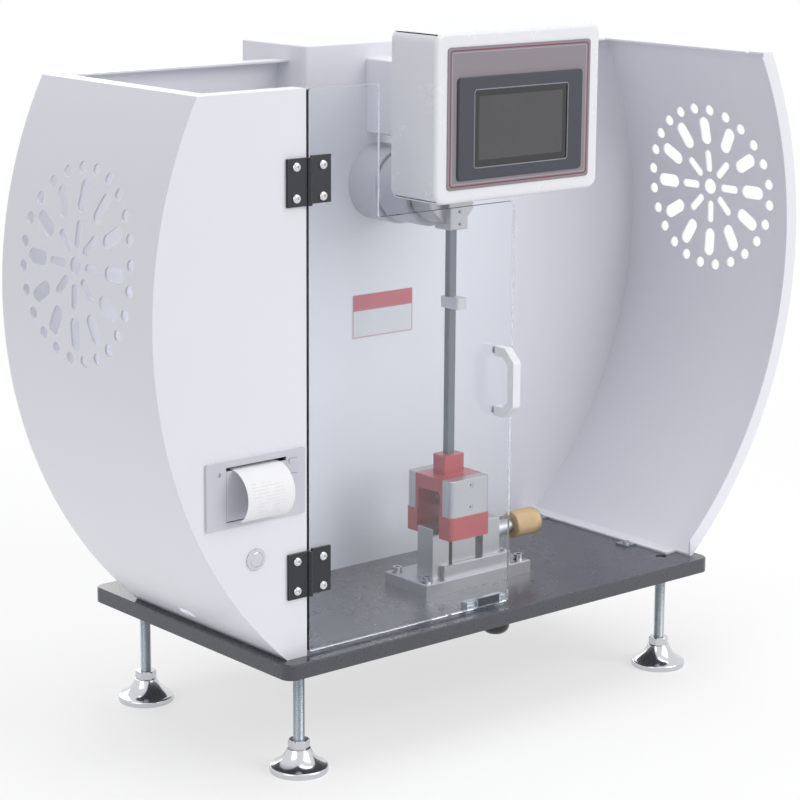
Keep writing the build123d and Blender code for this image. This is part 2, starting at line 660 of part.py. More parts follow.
for name, h in (("feed_button", 188), ("select_button", 203)):
    with BuildPart() as button:
        slab(printer_x1 - 13.7, printer_x1 - 4.3, shell_front - 3.3, shell_front + 2, h - 2.2, h + 2.2)
        slab(printer_x1 - 15, printer_x1 - 3, shell_front + 0.3, shell_front + 1.5, h - 3.4, h + 3.4)
    button.part.label = name
    export_step(button.part, f"parts/{name}.step")

# Printer cover, hinged along its lower edge, with the mouth of the paper above it
cover_x0 = printer_x0 + 17.3
cover_x1 = printer_x1 - 17.3
cover_hinge = (shell_front - 1.2, printer_h0 + 4)
curl_radius = 27
curl_height = printer_h1 - 5 - curl_radius
paper = 0.5
with BuildPart() as printer_cover:
    slab(cover_x0, cover_x1, shell_front - 2.5, shell_front - 0.2, printer_h0 + 3,
         curl_height + curl_radius - paper - 0.2)
    pin_x(cover_x0, cover_x1, *cover_hinge, 1.3)
printer_cover.part.label = "printer_cover"
export_step(printer_cover.part, "parts/printer_cover.step")

paper_x0 = -355
paper_x1 = -299
roll_radius = 17
with BuildPart() as paper_roll:
    pin_x(paper_x0, paper_x1, 37, printer_h0 + 2 + roll_radius, roll_radius)
    pin_x(paper_x0 - 1, paper_x1 + 1, 37, printer_h0 + 2 + roll_radius, 6, Mode.SUBTRACT)
paper_roll.part.label = "paper_roll"
export_step(paper_roll.part, "parts/paper_roll.step")

# Printed strip: leaves the mouth over the cover's edge, curls forward and hangs down
with BuildPart() as paper_strip:
    pin_x(paper_x0, paper_x1, shell_front, curl_height, curl_radius)
    pin_x(paper_x0 - 1, paper_x1 + 1, shell_front, curl_height, curl_radius - paper, Mode.SUBTRACT)
    slab(paper_x0 - 1, paper_x1 + 1, shell_front, shell_front + curl_radius + 1,
         curl_height - curl_radius - 1, curl_height + curl_radius + 1, Mode.SUBTRACT)
    slab(paper_x0 - 1, paper_x1 + 1, 6, shell_front + 1, curl_height - curl_radius - 1, curl_height,
         Mode.SUBTRACT)
    slab(paper_x0, paper_x1, shell_front, 26, curl_height + curl_radius - paper, curl_height + curl_radius)
paper_strip.part.label = "paper_strip"
export_step(paper_strip.part, "parts/paper_strip.step")


# Power button: metal bezel through the front wall and a sprung cap
with BuildPart() as button_bezel:
    pin_y(shell_front - 2.2, shell_front, button_x, button_height, 11)
    chamfer(button_bezel.edges().filter_by(GeomType.CIRCLE).group_by(Axis.Y)[0], 1)
    pin_y(shell_front, shell_front + 24, button_x, button_height, 9.5)
    pin_y(shell_front - 3, shell_front + 20, button_x, button_height, 7.6, Mode.SUBTRACT)
button_bezel.part.label = "button_bezel"
export_step(button_bezel.part, "parts/button_bezel.step")

with BuildPart() as power_button:
    pin_y(shell_front - 2.6, shell_front + 14, button_x, button_height, 7.5)
    fillet(power_button.edges().filter_by(GeomType.CIRCLE).group_by(Axis.Y)[0], 0.8)
power_button.part.label = "power_button"
export_step(power_button.part, "parts/power_button.step")


# Door hinges: flat black leaves, three knuckles each, a pin fixed in the frame side, domed screws
pin_depth = 14
knuckle = 2.8
third = hinge_tall / 3
leaf_front = pin_depth
leaf_gap = 3.2


def leaf(side, low, high):
    """One leaf plate at a hinge, reaching from beside the knuckles outwards."""
    inner = -hinge_line + side * leaf_gap
    outer = -hinge_line + side * hinge_wide
    slab(inner, outer, leaf_front, shell_front, low, high)


def knuckles(side, low, high, bore):
    """A knuckle joined to its leaf by a short web."""
    web = -hinge_line + side * (leaf_gap + 1)
    pin_z(low, high, -hinge_line, pin_depth, knuckle)
    slab(-hinge_line, web, leaf_front, leaf_front + 2.4, low, high)
    pin_z(low - 1, high + 1, -hinge_line, pin_depth, bore, Mode.SUBTRACT)


with BuildPart() as frame_hinges:
    for h in hinge_heights:
        leaf(-1, h - hinge_tall / 2, h + hinge_tall / 2)
        knuckles(-1, h - hinge_tall / 2, h - third / 2 - 0.2, 1.42)
        knuckles(-1, h + third / 2 + 0.2, h + hinge_tall / 2, 1.42)
        pin_z(h - hinge_tall / 2, h + hinge_tall / 2, -hinge_line, pin_depth, 1.42)
    for x, h in hinge_screw_places(-1):
        pin_y(leaf_front - 1, shell_front + 1, x, h, 2.05, Mode.SUBTRACT)
frame_hinges.part.label = "frame_hinges"
export_step(frame_hinges.part, "parts/frame_hinges.step")

with BuildPart() as door_hinges:
    for h in hinge_heights:
        leaf(1, h - hinge_tall / 2 + 1.5, h + hinge_tall / 2 + 1.5)
        knuckles(1, h - third / 2 + 0.2, h + third / 2 - 0.2, 1.48)
    for x, h in hinge_screw_places(1):
        pin_y(leaf_front - 1, shell_front + 1, x, h, 2.05, Mode.SUBTRACT)
door_hinges.part.label = "door_hinges"
export_step(door_hinges.part, "parts/door_hinges.step")


def leaf_screws(places, tip):
    """Screws through the leaves; the shank ends at a given depth."""
    for x, h in places:
        pin_y(leaf_front, tip, x, h, 2)
        pin_y(leaf_front - 2.8, leaf_front, x, h, 4.7)


door_depth = 5
handle_x = -14
handle_low = 208
handle_high = 281
with BuildPart() as frame_screws:
    leaf_screws(hinge_screw_places(-1), shell_front + 5)
    fillet(frame_screws.edges().filter_by(GeomType.CIRCLE).group_by(Axis.Y)[0], 2.4)
    for x, h in hinge_screw_places(-1):
        pin_y(leaf_front - 3, leaf_front - 1.4, x, h, 1.4, Mode.SUBTRACT)
frame_screws.part.label = "frame_screws"
export_step(frame_screws.part, "parts/frame_screws.step")

with BuildPart() as door_screws:
    leaf_screws(hinge_screw_places(1), shell_front + door_depth + 1)
    fillet(door_screws.edges().filter_by(GeomType.CIRCLE).group_by(Axis.Y)[0], 2.4)
    for x, h in hinge_screw_places(1):
        pin_y(leaf_front - 3, leaf_front - 1.4, x, h, 1.4, Mode.SUBTRACT)
    for h in (handle_low + 5, handle_high - 5):
        pin_y(shell_front - 7, shell_front + door_depth, handle_x, h, 2)
        pin_y(shell_front + door_depth, shell_front + door_depth + 2.4, handle_x, h, 4)
door_screws.part.label = "door_screws"
export_step(door_screws.part, "parts/door_screws.step")


# Clear door: an L-shaped sheet, cut away round the console
door_right = 6
door_top = shell_height - 1
door_bottom = 3
notch_x = -174
notch_height = console_bottom - 6
with BuildPart() as guard_door:
    with BuildSketch(front_plane(shell_front + door_depth)):
        with BuildLine():
            Polyline((-hinge_line + 1.2, door_bottom), (door_right, door_bottom), (door_right, notch_height),
                     (notch_x, notch_height), (notch_x, door_top), (-hinge_line + 1.2, door_top),
                     (-hinge_line + 1.2, door_bottom))
        make_face()
    extrude(amount=door_depth)
    fillet(guard_door.edges().filter_by(Axis.Y), 3)
    for x, h in hinge_screw_places(1):
        pin_y(shell_front - 1, shell_front + door_depth + 1, x, h, 2.05, Mode.SUBTRACT)
    for h in (handle_low + 5, handle_high - 5):
        pin_y(shell_front - 1, shell_front + door_depth + 1, handle_x, h, 2.05, Mode.SUBTRACT)
guard_door.part.label = "guard_door"
export_step(guard_door.part, "parts/guard_door.step")

with BuildPart() as door_handle:
    with BuildSketch(side_plane(handle_x - 5)):
        with BuildLine():
            Polyline((shell_front, handle_low), (2, handle_low), (-front_reach, handle_low + 13),
                     (-front_reach, handle_high - 13), (2, handle_high), (shell_front, handle_high),
                     (shell_front, handle_high - 10), (5, handle_high - 10), (-3, handle_high - 17),
                     (-3, handle_low + 17), (5, handle_low + 10), (shell_front, handle_low + 10),
                     (shell_front, handle_low))
        make_face()
    extrude(amount=10)
    fillet(door_handle.edges().filter_by(Axis.X).group_by(Axis.Y)[0], 6)
    for h in (handle_low + 5, handle_high - 5):
        pin_y(shell_front - 8, shell_front + 1, handle_x, h, 2.05, Mode.SUBTRACT)
door_handle.part.label = "door_handle"
export_step(door_handle.part, "parts/door_handle.step")

# Magnetic catch: a magnet on the plate, a steel keeper on the door
with BuildPart() as door_catch:
    slab(-46, 8, 25.6, 36, 0, 9)
    chamfer(door_catch.faces().sort_by(Axis.Z)[-1].edges(), 1)
    slab(-34, -4, 25.3, 25.6, 1, 8)
door_catch.part.label = "door_catch"
export_step(door_catch.part, "parts/door_catch.step")

with BuildPart() as catch_keeper:
    slab(-34, -4, shell_front + door_depth, shell_front + door_depth + 3, 3.2, 12)
catch_keeper.part.label = "catch_keeper"
export_step(catch_keeper.part, "parts/catch_keeper.step")


# Console arm and console
with BuildPart() as console_arm:
    slab(-arm_half, arm_half, console_back, column_front, arm_bottom, arm_top)
    fillet(console_arm.edges().filter_by(Axis.Y), 3)
    slab(-arm_half + 3, arm_half - 3, console_back - 1, column_front + 1, arm_bottom + 3, arm_top - 3,
         Mode.SUBTRACT)
console_arm.part.label = "console_arm"
export_step(console_arm.part, "parts/console_arm.step")

display_half = 79
display_bottom = console_bottom + 27
display_top = display_bottom + 94
with BuildPart() as console_housing:
    slab(-console_half, console_half, console_front, console_back, console_bottom, console_top)
    fillet(console_housing.edges().filter_by(Axis.Y), 12)
    fillet(console_housing.faces().sort_by(Axis.Y)[0].edges(), 5)
    slab(-console_half + console_wall, console_half - console_wall, console_front + console_wall,
         console_back + 1, console_bottom + console_wall, console_top - console_wall, Mode.SUBTRACT)
    slab(-display_half, display_half, console_front - 1, console_front + console_wall + 1,
         display_bottom, display_top, Mode.SUBTRACT)
console_housing.part.label = "console_housing"
export_step(console_housing.part, "parts/console_housing.step")

with BuildPart() as console_back_cover:
    slab(-console_half + console_wall + 0.2, console_half - console_wall - 0.2, console_back - 3,
         console_back, console_bottom + console_wall + 0.2, console_top - console_wall - 0.2)
    slab(-10, 10, console_back - 4, console_back + 1, arm_bottom + 10, arm_top - 10, Mode.SUBTRACT)
    for row in range(5):
        for x in (-70, 70):
            low = display_bottom + 8 + 10 * row
            slab(x - 22, x + 22, console_back - 4, console_back + 1, low, low + 3, Mode.SUBTRACT)
console_back_cover.part.label = "console_back_cover"
export_step(console_back_cover.part, "parts/console_back_cover.step")

with BuildPart() as face_plate:
    slab(-97, 97, console_front - 1, console_front, console_bottom + 14, console_top - 16)
    fillet(face_plate.edges().filter_by(Axis.Y), 4)
    slab(-display_half, display_half, console_front - 2, console_front + 1, display_bottom, display_top,
         Mode.SUBTRACT)
face_plate.part.label = "face_plate"
export_step(face_plate.part, "parts/face_plate.step")

screen_half = 63
screen_bottom = display_bottom + 8.5
screen_top = screen_bottom + 76
bezel_front = console_front - 3.5
with BuildPart() as screen_bezel:
    slab(-85, 85, bezel_front, console_front - 1, display_bottom - 4, display_top + 4)
    fillet(screen_bezel.edges().filter_by(Axis.Y), 4)
    chamfer(screen_bezel.faces().sort_by(Axis.Y)[0].edges(), 1)
    slab(-screen_half, screen_half, bezel_front - 1, console_front, screen_bottom, screen_top, Mode.SUBTRACT)
screen_bezel.part.label = "screen_bezel"
export_step(screen_bezel.part, "parts/screen_bezel.step")

with BuildPart() as screen_glass:
    slab(-screen_half + 0.05, screen_half - 0.05, bezel_front + 0.8, console_front - 1,
         screen_bottom + 0.05, screen_top - 0.05)
screen_glass.part.label = "screen_glass"
export_step(screen_glass.part, "parts/screen_glass.step")

with BuildPart() as display_module:
    slab(-display_half + 0.3, display_half - 0.3, console_front - 1, 42, display_bottom + 0.3,
         display_top - 0.3)
display_module.part.label = "display_module"
export_step(display_module.part, "parts/display_module.step")
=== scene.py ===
# %% [markdown]
# A bench-top pendulum impact tester. A hammer swings down on a flat bar between two bulging
# guard shells and breaks a specimen that stands in a vise. The solids come from the packed
# model, already in place and in metres. This lesson gives them their finishes, adds the fine
# pieces that a solid model leaves out, and lights and frames the result.

import json
import math

import bpy
import numpy as np
from mathutils import Matrix, Vector


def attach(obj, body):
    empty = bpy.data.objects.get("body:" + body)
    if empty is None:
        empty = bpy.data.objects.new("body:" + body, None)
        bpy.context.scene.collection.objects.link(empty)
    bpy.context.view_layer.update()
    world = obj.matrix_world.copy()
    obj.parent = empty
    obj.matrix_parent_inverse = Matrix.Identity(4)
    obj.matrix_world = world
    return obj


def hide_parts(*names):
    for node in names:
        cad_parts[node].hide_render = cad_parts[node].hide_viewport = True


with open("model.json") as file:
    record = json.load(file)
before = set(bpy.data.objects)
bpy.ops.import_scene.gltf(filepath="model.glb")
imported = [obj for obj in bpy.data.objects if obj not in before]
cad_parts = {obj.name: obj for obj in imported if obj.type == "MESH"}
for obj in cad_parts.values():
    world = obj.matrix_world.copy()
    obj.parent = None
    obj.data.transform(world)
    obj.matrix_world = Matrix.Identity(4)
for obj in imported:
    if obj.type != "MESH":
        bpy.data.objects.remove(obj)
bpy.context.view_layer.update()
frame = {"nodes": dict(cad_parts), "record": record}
nodes = frame["nodes"]

# %% [markdown]
# Every measure of the machine is easiest to give from the base plate: x across, depth behind
# the plate's front edge, and height above its top face, all in millimetres. One small function
# turns such numbers, or whole arrays of them, into metres in the shared frame.

# %% Places given from the plate
MM = 0.001
FRONT_TO_MIDDLE = 168.5
PLATE_TOP = 128.0


def at(x, depth, height):
    """World points, (n, 3): x, depth less the middle depth, height plus the plate's height."""
    x, depth, height = np.broadcast_arrays(x, depth, height)
    return np.stack([x, depth - FRONT_TO_MIDDLE, height + PLATE_TOP], axis=-1) * MM


print("hammer's striking edge", at(0.4, 110, 92).round(4))

# %% [markdown]
# The camera is a long lens, a little above the machine and to its left. Its place and angles
# were worked out from straight edges of the plate and the column. The three axes of the camera
# are built from the viewing direction, then rolled by less than half a degree.

# %% Camera
CAMERA_PLACE = Vector((-1.7132, -1.9984, 0.9293))
YAW, PITCH, ROLL = math.radians(-40.32), math.radians(12.99), math.radians(0.41)
LENS = 112.1


def camera_axes(yaw, pitch, roll):
    """Right, up and forward: forward from yaw and pitch, the other two turned about it by roll."""
    forward = Vector((-math.sin(yaw) * math.cos(pitch), math.cos(yaw) * math.cos(pitch), -math.sin(pitch)))
    level = forward.cross(Vector((0, 0, 1))).normalized()
    over = level.cross(forward)
    right = level * math.cos(roll) + over * math.sin(roll)
    up = over * math.cos(roll) - level * math.sin(roll)
    return right, up, forward


camera_data = bpy.data.cameras.new("camera")
camera_data.lens = LENS
camera_data.sensor_width = 36
camera_data.clip_end = 60
camera = bpy.data.objects.new("camera", camera_data)
bpy.context.scene.collection.objects.link(camera)
right, up, forward = camera_axes(YAW, PITCH, ROLL)
turn = Matrix((right, up, -forward)).transposed()
camera.matrix_world = Matrix.Translation(CAMERA_PLACE) @ turn.to_4x4()
bpy.context.scene.camera = camera
bpy.context.scene.view_settings.view_transform = "Standard"
print("camera looks along", [round(v, 3) for v in forward])

# %% [markdown]
# Materials are built from nodes. A few helpers keep that short: they add a node and fill its
# sockets with numbers or links, do sums, blend colours, start a material with a Principled
# shader, and start a group, which is a small recipe that several materials share.

# %% Node helpers
def node(tree, kind, fill=None, **settings):
    """One node. fill maps an input's name or number to a value, or to a socket to link."""
    made = tree.nodes.new(kind)
    for key, value in settings.items():
        setattr(made, key, value)
    for key, value in (fill or {}).items():
        if isinstance(value, bpy.types.NodeSocket):
            tree.links.new(value, made.inputs[key])
        else:
            made.inputs[key].default_value = value
    return made


def math_node(tree, operation, a, b=0.5, clamp=False):
    """The result of one sum on two numbers."""
    return node(tree, "ShaderNodeMath", {0: a, 1: b}, operation=operation, use_clamp=clamp).outputs[0]


def scaled(tree, value, factor, offset):
    """value times factor, plus an offset; each may be a number or a socket."""
    return node(tree, "ShaderNodeMath", {0: value, 1: factor, 2: offset}, operation="MULTIPLY_ADD").outputs[0]


def blend_colours(tree, factor, a, b):
    """Colour a where factor is 0, colour b where it is 1."""
    made = node(tree, "ShaderNodeMix", {0: factor}, data_type="RGBA")
    for number, value in ((6, a), (7, b)):
        if isinstance(value, bpy.types.NodeSocket):
            tree.links.new(value, made.inputs[number])
        else:
            made.inputs[number].default_value = (*value, 1)
    return made.outputs[2]


def start_material(name, colour, roughness, metallic=0.0, **sockets):
    """A material with one Principled shader, its constants on its own sockets."""
    made = bpy.data.materials.new(name)
    made.use_nodes = True
    shader = made.node_tree.nodes["Principled BSDF"]
    shader.inputs["Base Color"].default_value = (*colour, 1)
    shader.inputs["Roughness"].default_value = roughness
    shader.inputs["Metallic"].default_value = metallic
    for key, value in sockets.items():
        shader.inputs[key.replace("_", " ")].default_value = value
    made.diffuse_color = (*colour, 1)
    return made, made.node_tree, shader


def start_group(name, inputs, outputs):
    """A group with named inputs (name, kind, value) and outputs (name, kind)."""
    tree = bpy.data.node_groups.new(name, "ShaderNodeTree")
    for label, kind, value in inputs:
        tree.interface.new_socket(name=label, in_out="INPUT", socket_type=kind).default_value = value
    for label, kind in outputs:
        tree.interface.new_socket(name=label, in_out="OUTPUT", socket_type=kind)
    return tree, tree.nodes.new("NodeGroupInput"), tree.nodes.new("NodeGroupOutput")


def use_group(tree, group, **inputs):
    """A group placed in a material with its own values."""
    made = tree.nodes.new("ShaderNodeGroup")
    made.node_tree = group
    for key, value in inputs.items():
        made.inputs[key.replace("_", " ")].default_value = value
    return made


FLOAT, VECTOR = "NodeSocketFloat", "NodeSocketVector"
print("node helpers ready")

# %% [markdown]
# The floor is pale and plain. Near the machine it is a real surface that takes its shadow. Far
# from it, it fades to clear, so that the white of the world shows and there is no horizon line.
# Camera rays see part of the floor as plain white light, which keeps it pale while the lamps
# stay at a level at which colours look as they are written.

# %% Floor and world
FLOOR_COLOUR = (0.93, 0.93, 0.94)
FLOOR_REACH = 4.0
FADE_START, FADE_END = 0.75, 1.9
FLOOR_GLOW = 0.62
WORLD_LIGHT = 0.42


def make_floor():
    """A square sheet at height 0, from four corners."""
    corners = np.array([(-1, -1, 0), (1, -1, 0), (1, 1, 0), (-1, 1, 0)]) * FLOOR_REACH
    mesh = bpy.data.meshes.new("floor")
    mesh.from_pydata(corners.tolist(), [], [(0, 1, 2, 3)])
    made = bpy.data.objects.new("floor", mesh)
    bpy.context.scene.collection.objects.link(made)
    return made


def seen_directly(tree):
    """1 for camera, glossy and transmission rays, and 0 for the rays that carry light."""
    path = tree.nodes.new("ShaderNodeLightPath")
    first = math_node(tree, "MAXIMUM", path.outputs["Is Camera Ray"], path.outputs["Is Glossy Ray"])
    return math_node(tree, "MAXIMUM", first, path.outputs["Is Transmission Ray"])


floor = make_floor()
floor_finish = bpy.data.materials.new("pale floor")
floor_finish.use_nodes = True
tree = floor_finish.node_tree
tree.nodes.remove(tree.nodes["Principled BSDF"])
matte = node(tree, "ShaderNodeBsdfDiffuse", {"Color": (*FLOOR_COLOUR, 1)})
white = node(tree, "ShaderNodeEmission", {"Color": (1, 1, 1, 1), "Strength": 1.0})
share = math_node(tree, "MULTIPLY", seen_directly(tree), FLOOR_GLOW)
near = node(tree, "ShaderNodeMixShader", {0: share, 1: matte.outputs[0], 2: white.outputs[0]})
place = node(tree, "ShaderNodeTexCoord").outputs["Object"]
distance = node(tree, "ShaderNodeVectorMath", {0: place}, operation="LENGTH").outputs["Value"]
fade = node(tree, "ShaderNodeMapRange", {"Value": distance, "From Min": FADE_START, "From Max": FADE_END},
            interpolation_type="SMOOTHSTEP").outputs[0]
clear = node(tree, "ShaderNodeBsdfTransparent")
both = node(tree, "ShaderNodeMixShader", {0: fade, 1: near.outputs[0], 2: clear.outputs[0]})
tree.links.new(both.outputs[0], tree.nodes["Material Output"].inputs["Surface"])
floor.data.materials.append(floor_finish)

world = bpy.data.worlds.new("studio")
bpy.context.scene.world = world
world.use_nodes = True
tree = world.node_tree
backdrop = tree.nodes["Background"]
backdrop.inputs["Color"].default_value = (1, 1, 1, 1)
level = scaled(tree, seen_directly(tree), 1 - WORLD_LIGHT, WORLD_LIGHT)
tree.links.new(level, backdrop.inputs["Strength"])
print("floor reaches", FLOOR_REACH, "m and fades from", FADE_START, "to", FADE_END)

# %% [markdown]
# Soft studio light comes from large square lamps. The main one stands in front and to the
# right, so that the outside of the left shell falls into a soft shade, as it does on the real
# machine. Weaker ones fill from the left, from above and from behind.

# %% Lamps
LAMPS = (
    ("main lamp", (1.3, -2.9, 2.0), 2.4, 62, (1.0, 0.99, 0.98)),
    ("top lamp", (0.3, 0.1, 3.2), 2.6, 40, (0.98, 0.99, 1.0)),
    ("left lamp", (-3.1, -0.6, 1.5), 2.2, 20, (0.96, 0.98, 1.0)),
    ("back lamp", (0.6, 3.2, 1.9), 2.4, 34, (1.0, 1.0, 1.0)),
)
AIM = Vector((0, 0, 0.38))


def hang_lamp(name, place, size, power, colour):
    """A square lamp turned towards the middle of the machine."""
    data = bpy.data.lights.new(name, "AREA")
    data.shape = "SQUARE"
    data.size = size
    data.energy = power
    data.color = colour
    lamp = bpy.data.objects.new(name, data)
    lamp.location = place
    lamp.rotation_mode = "QUATERNION"
    lamp.rotation_quaternion = (AIM - Vector(place)).to_track_quat("-Z", "Y")
    bpy.context.scene.collection.objects.link(lamp)
    return lamp


lamps = [hang_lamp(*values) for values in LAMPS]
print("lamps", [lamp.name for lamp in lamps])

# %% [markdown]
# Sprayed and baked paint is never quite flat: it has a fine orange-peel ripple and slow changes
# of shade. Cut steel shows the lines of the cutter, which run one way. Handling rubs a surface
# in soft patches, and sharp edges lose their paint first. Each of these is a group that reads
# Object coordinates, so that it stays with the piece when a joint moves it.

# %% Shared recipes
def object_place(tree):
    return tree.nodes.new("ShaderNodeTexCoord").outputs["Object"]


def noise_node(tree, place, scale, detail):
    return node(tree, "ShaderNodeTexNoise", {"Vector": place, "Scale": scale, "Detail": detail})


def between(tree, value, low, high):
    """0 up to the low value, 1 from the high one, and a straight rise between them."""
    return node(tree, "ShaderNodeMapRange", {"Value": value, "From Min": low, "From Max": high}).outputs[0]


def ripple_recipe():
    """Height and shade of orange-peel paint: two noises, one a few times finer than the other."""
    tree, given, result = start_group(
        "orange peel", [("Ripple", FLOAT, 300.0), ("Patch", FLOAT, 6.0)],
        [("Height", FLOAT), ("Shade", FLOAT)])
    place = object_place(tree)
    fine = noise_node(tree, place, given.outputs["Ripple"], 2.0)
    slow = noise_node(tree, place, given.outputs["Patch"], 3.0)
    tree.links.new(fine.outputs["Fac"], result.inputs["Height"])
    tree.links.new(slow.outputs["Fac"], result.inputs["Shade"])
    return tree


def cutter_recipe():
    """Lines of a cutting tool: noise on a place that is stretched along one direction."""
    tree, given, result = start_group(
        "cutter lines", [("Stretch", VECTOR, (1.0, 1.0, 1.0)), ("Density", FLOAT, 900.0)],
        [("Height", FLOAT), ("Shade", FLOAT)])
    stretched = node(tree, "ShaderNodeVectorMath", {0: object_place(tree), 1: given.outputs["Stretch"]},
                     operation="MULTIPLY").outputs[0]
    lines = node(tree, "ShaderNodeTexNoise",
                 {"Vector": stretched, "Scale": given.outputs["Density"], "Detail": 3.0, "Roughness": 0.6})
    slow = noise_node(tree, object_place(tree), 38.0, 3.0)
    total = scaled(tree, slow.outputs["Fac"], 0.4, math_node(tree, "MULTIPLY", lines.outputs["Fac"], 0.6))
    tree.links.new(lines.outputs["Fac"], result.inputs["Height"])
    tree.links.new(total, result.inputs["Shade"])
    return tree


def handling_recipe():
    """A mask of rubbed patches and specks: a slow noise, cut hard, broken up by a fine one."""
    tree, given, result = start_group(
        "handling", [("Size", FLOAT, 14.0), ("Amount", FLOAT, 0.5)], [("Mask", FLOAT)])
    place = object_place(tree)
    slow = noise_node(tree, place, given.outputs["Size"], 4.0)
    fine = noise_node(tree, place, 260.0, 2.0)
    patch = between(tree, slow.outputs["Fac"], 0.45, 0.7)
    speck = between(tree, fine.outputs["Fac"], 0.3, 0.75)
    mask = math_node(tree, "MULTIPLY", patch, speck)
    mask = math_node(tree, "MULTIPLY", mask, given.outputs["Amount"], clamp=True)
    tree.links.new(mask, result.inputs["Mask"])
    return tree


def edge_recipe():
    """A mask of sharp edges: how far a softened normal turns away from the true one, broken up by noise."""
    tree, given, result = start_group(
        "worn edges", [("Width", FLOAT, 0.0008), ("Amount", FLOAT, 1.0)], [("Mask", FLOAT)])
    soft = node(tree, "ShaderNodeBevel", {"Radius": given.outputs["Width"]}, samples=4)
    true = tree.nodes.new("ShaderNodeNewGeometry")
    along = node(tree, "ShaderNodeVectorMath", {0: soft.outputs[0], 1: true.outputs["Normal"]},
                 operation="DOT_PRODUCT").outputs["Value"]
    turned = math_node(tree, "SUBTRACT", 1.0, along)
    noise = noise_node(tree, object_place(tree), 420.0, 3.0)
    broken = between(tree, noise.outputs["Fac"], 0.35, 0.6)
    strength = math_node(tree, "MULTIPLY", turned, 9.0, clamp=True)
    mask = math_node(tree, "MULTIPLY", strength, broken)
    mask = math_node(tree, "MULTIPLY", mask, given.outputs["Amount"], clamp=True)
    tree.links.new(mask, result.inputs["Mask"])
    return tree


orange_peel, cutter_lines, handling, worn_edges = (
    ripple_recipe(), cutter_recipe(), handling_recipe(), edge_recipe())
print("recipes", [group.name for group in (orange_peel, cutter_lines, handling, worn_edges)])

# %% [markdown]
# Painted sheet covers most of the machine. The same builder serves the white shells, the light
# grey bearing housing, the dark plate, the red hammer and the black hinges. Each gets its own
# colour, gloss and wear. The ripple goes into a Bump node, the slow shade darkens the colour by
# a share of its own, and rubbed patches are a little duller than the rest.

# %% Painted finishes
RUB_DULLS = 0.12


def bumped(tree, shader, height, strength, distance):
    """Small relief on the shader's normal."""
    relief = node(tree, "ShaderNodeBump", {"Height": height, "Strength": strength, "Distance": distance})
    tree.links.new(relief.outputs[0], shader.inputs["Normal"])


def paint(name, colour, roughness, peel=0.25, ripple=320.0, shade=0.05, rub=0.3, worn=None, **sockets):
    """Baked paint: base colour with a slow shade, orange peel, rubbed patches and worn edges."""
    made, tree, shader = start_material(name, colour, roughness, **sockets)
    skin = use_group(tree, orange_peel, Ripple=ripple)
    marks = use_group(tree, handling, Amount=rub)
    darker = tuple(c * (1 - shade) for c in colour)
    hue = blend_colours(tree, skin.outputs["Shade"], darker, colour)
    rough = scaled(tree, marks.outputs["Mask"], RUB_DULLS, roughness)
    if worn:
        bare, width, amount = worn
        edge = use_group(tree, worn_edges, Width=width, Amount=amount)
        hue = blend_colours(tree, edge.outputs["Mask"], hue, bare)
        tree.links.new(edge.outputs["Mask"], shader.inputs["Metallic"])
    tree.links.new(hue, shader.inputs["Base Color"])
    tree.links.new(rough, shader.inputs["Roughness"])
    bumped(tree, shader, skin.outputs["Height"], peel, 0.0002)
    return made


STEEL_TONE = (0.55, 0.55, 0.56)
finishes = {
    "white_paint": paint("white baked paint", (0.80, 0.805, 0.865), 0.34, peel=0.2, shade=0.03,
                         Coat_Weight=0.25, Coat_Roughness=0.2),
    "grey_housing": paint("light grey enamel", (0.56, 0.575, 0.635), 0.36, peel=0.3, shade=0.06,
                          worn=(STEEL_TONE, 0.0006, 0.35)),
    "dark_paint": paint("dark grey enamel", (0.058, 0.06, 0.076), 0.27, peel=0.35, ripple=420.0, shade=0.25,
                        rub=0.6, worn=((0.2, 0.2, 0.22), 0.0009, 0.5), Coat_Weight=0.3, Coat_Roughness=0.22),
    "red_paint": paint("red enamel", (0.46, 0.028, 0.045), 0.33, peel=0.4, shade=0.18, rub=0.6,
                       worn=(STEEL_TONE, 0.0007, 0.7), Coat_Weight=0.4, Coat_Roughness=0.2),
    "black_hinge": paint("black enamel", (0.014, 0.015, 0.021), 0.38, peel=0.35, ripple=500.0, shade=0.3,
                         rub=0.7, worn=((0.16, 0.16, 0.17), 0.0005, 0.4)),
}
print("painted", list(finishes))

# %% [markdown]
# Bare metal is the opposite: nearly all of its look comes from reflection, so the cutter's
# lines go into roughness and relief, and the colour only drifts a little. Plated pieces are
# smooth, with the faint cloudiness of a thin plate over turned steel.

# %% Metal finishes
def metal(name, colour, roughness, stretch=(1.0, 1.0, 1.0), density=900.0, relief=0.2, spread=0.16,
          drift=0.18, metallic=1.0):
    """Metal: tone, roughness and relief all follow the same stretched noise."""
    made, tree, shader = start_material(name, colour, roughness, metallic)
    lines = use_group(tree, cutter_lines, Stretch=stretch, Density=density)
    marks = use_group(tree, handling, Size=22.0, Amount=0.8)
    darker = tuple(c * (1 - drift) for c in colour)
    hue = blend_colours(tree, lines.outputs["Shade"], darker, colour)
    rough = scaled(tree, lines.outputs["Shade"], spread, roughness - spread / 2)
    rubbed = scaled(tree, marks.outputs["Mask"], RUB_DULLS, rough)
    tree.links.new(hue, shader.inputs["Base Color"])
    tree.links.new(rubbed, shader.inputs["Roughness"])
    bumped(tree, shader, lines.outputs["Height"], relief, 0.0001)
    return made


